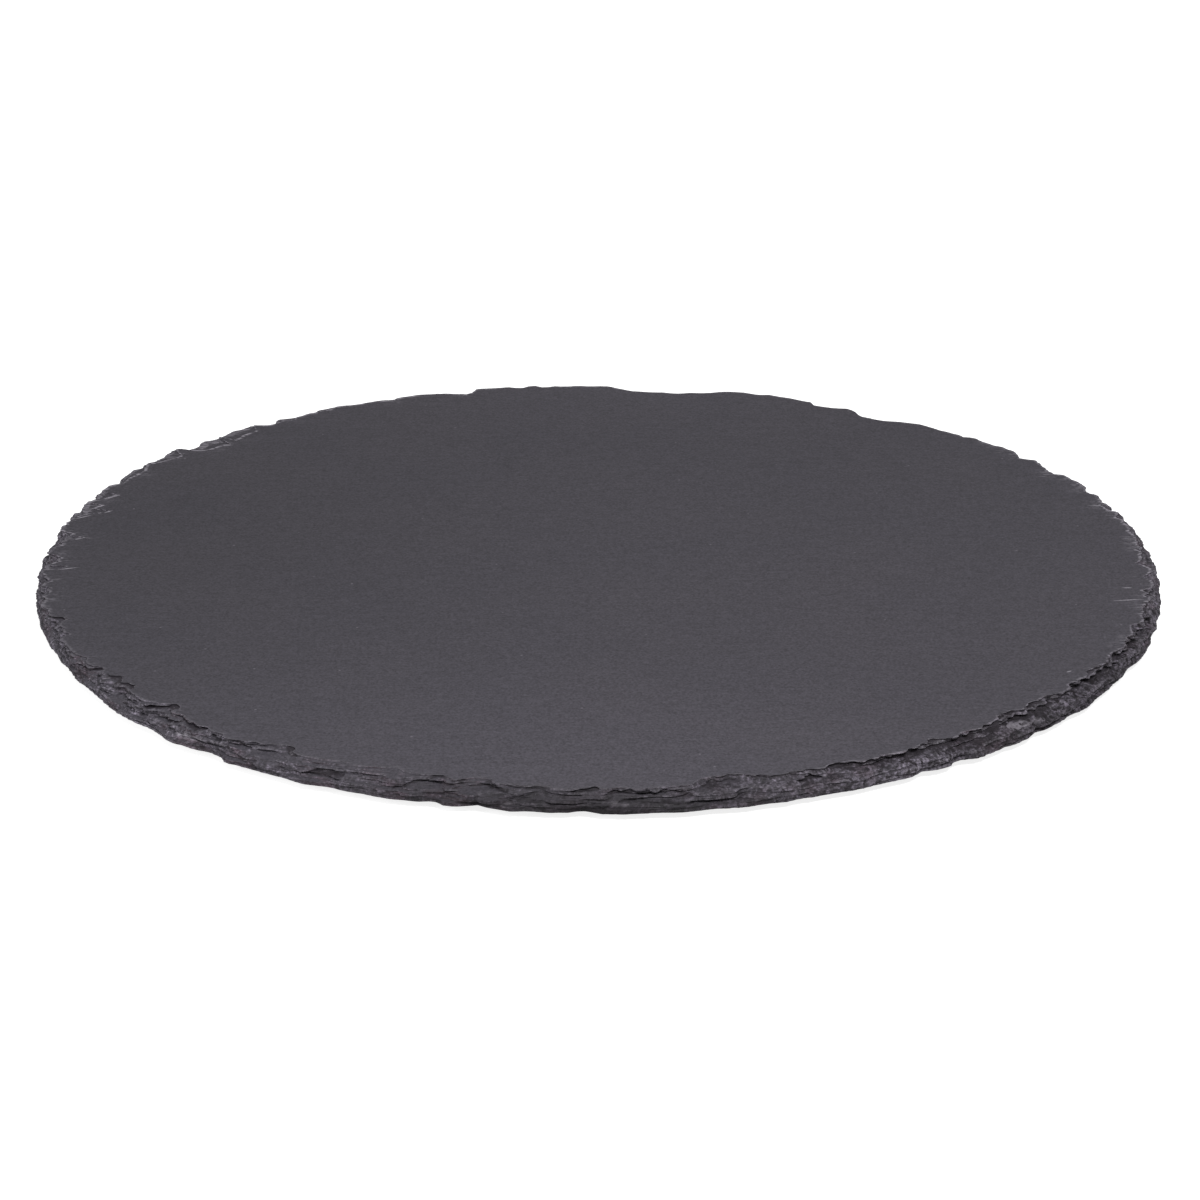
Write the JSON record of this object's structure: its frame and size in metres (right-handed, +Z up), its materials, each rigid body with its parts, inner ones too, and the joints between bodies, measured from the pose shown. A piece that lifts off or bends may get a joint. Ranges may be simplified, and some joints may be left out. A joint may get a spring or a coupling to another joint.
{
  "type": "round serving board",
  "caption": "Round board split from natural slate, with a hand-chipped, layered edge, a flat serving face and small foam feet underneath.",
  "frame": {"origin": "on the table, under the centre of the board, at the underside of the feet", "axes": "+Z up, out of the serving face; -Y towards the front, the side nearest the viewer; +X to the right; the slate's grain runs along X"},
  "size_m": [0.2988, 0.3, 0.007],
  "materials": {
    "slate": "natural cleft slate, dark purplish grey, lightly oiled, matt",
    "foam": "black closed-cell foam, matt",
    "film": "pale double-sided adhesive film"
  },
  "bodies": {
    "root": {"slate_slab": "slate", "front_left_foot": "foam", "front_right_foot": "foam", "back_right_foot": "foam", "back_left_foot": "foam", "front_left_film": "film", "front_right_film": "film", "back_right_film": "film", "back_left_film": "film"}
  },
  "joints": []
}
